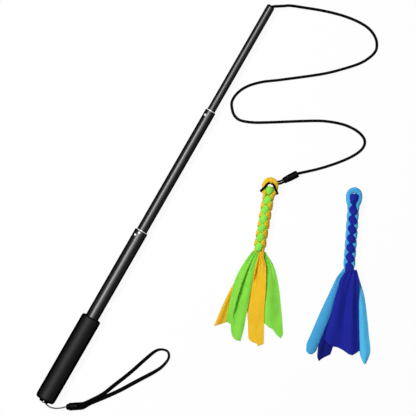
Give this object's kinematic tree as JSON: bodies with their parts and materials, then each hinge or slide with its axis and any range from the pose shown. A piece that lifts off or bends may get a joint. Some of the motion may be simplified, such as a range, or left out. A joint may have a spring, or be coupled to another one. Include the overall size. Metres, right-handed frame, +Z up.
{
  "type": "dog flirt pole",
  "caption": "Telescoping dog toy pole with a foam grip, wrist strap, spring-button locks and a bungee that ends in a braided fleece lure, with a spare lure beside it.",
  "frame": {"origin": "middle of the butt cap's flat face, at the butt end of the grip, on the pole's axis", "axes": "+X along the pole from the butt to the tip, +Z up from the floor that it lies on; the lures and the strap lie towards -Y"},
  "size_m": [0.7161, 0.3964, 0.03],
  "materials": {
    "foam": "matte",
    "black_tube": "gloss",
    "black_plastic": "satin",
    "bare_metal": "satin",
    "spring_steel": "satin",
    "nylon": "satin",
    "black_cord": "matte",
    "grey_thread": "matte",
    "lime_fleece": "matte",
    "amber_fleece": "matte",
    "navy_fleece": "matte",
    "sky_fleece": "matte"
  },
  "bodies": {
    "lower_section": {"grip_sleeve": "foam", "lower_tube": "black_tube", "butt_cap": "black_plastic", "strap_pin": "bare_metal", "lower_mouth_ring": "bare_metal", "lower_mouth_bush": "nylon"},
    "middle_section": {"middle_tube": "black_tube", "middle_guide": "nylon", "upper_mouth_ring": "bare_metal", "upper_mouth_bush": "nylon", "lower_lock_spring": "spring_steel"},
    "lower_lock": {"lower_lock_button": "bare_metal"},
    "tip_section": {"tip_tube": "black_tube", "tip_guide": "nylon", "tip_plug": "black_plastic", "tip_rivet": "bare_metal", "stop_knot": "black_cord", "bungee_cord": "black_cord", "upper_lock_spring": "spring_steel"},
    "upper_lock": {"upper_lock_button": "bare_metal"},
    "lure": {"cord_sleeve": "black_plastic", "cord_loop": "black_cord", "lure_front_strip": "lime_fleece", "lure_side_strip": "amber_fleece", "lure_front_tail_left": "lime_fleece", "lure_front_tail_right": "lime_fleece", "lure_side_tail_left": "amber_fleece", "lure_side_tail_middle": "amber_fleece"},
    "wrist_strap": {"strap_thread": "grey_thread", "strap_joiner": "black_plastic", "strap_webbing": "black_cord"},
    "spare_lure": {"spare_front_strip": "navy_fleece", "spare_side_strip": "sky_fleece", "spare_front_tail_middle": "navy_fleece", "spare_front_tail_left": "navy_fleece", "spare_side_tail_left": "sky_fleece", "spare_side_tail_right": "sky_fleece"}
  },
  "joints": [
    {"name": "middle_slide", "type": "slide", "parent": "lower_section", "child": "middle_section", "axis": [1, 0, 0], "range_m": [-0.185, 0], "deforming": ["lower_lock_button"]},
    {"name": "tip_slide", "type": "slide", "parent": "middle_section", "child": "tip_section", "axis": [1, 0, 0], "range_m": [-0.16, 0], "deforming": ["upper_lock_button"]},
    {"name": "lower_lock_press", "type": "hinge", "parent": "middle_section", "child": "lower_lock", "pos_m": [0.2486, 0, 0], "axis": [0, 0.8192, -0.5736], "range_deg": [0, 6], "stiffness_Nm_per_rad": 0.5, "springref_deg": -1.72},
    {"name": "upper_lock_press", "type": "hinge", "parent": "tip_section", "child": "upper_lock", "pos_m": [0.4506, 0, 0], "axis": [0, 0.8192, -0.5736], "range_deg": [0, 6], "stiffness_Nm_per_rad": 0.5, "springref_deg": -1.72},
    {"name": "lure_lift", "type": "hinge", "parent": "tip_section", "child": "lure", "pos_m": [0.46895, -0.15418, -0.0097], "axis": [-0.454, 0.891, 0], "range_deg": [0, 60]},
    {"name": "strap_swing", "type": "hinge", "parent": "lower_section", "child": "wrist_strap", "pos_m": [-0.00176, 0, 0], "axis": [0, 0, 1], "range_deg": [-150, 5]},
    {"name": "spare_lure_lift", "type": "slide", "parent": "lower_section", "child": "spare_lure", "axis": [0, 0, 1], "range_m": [0, 0.1]}
  ]
}
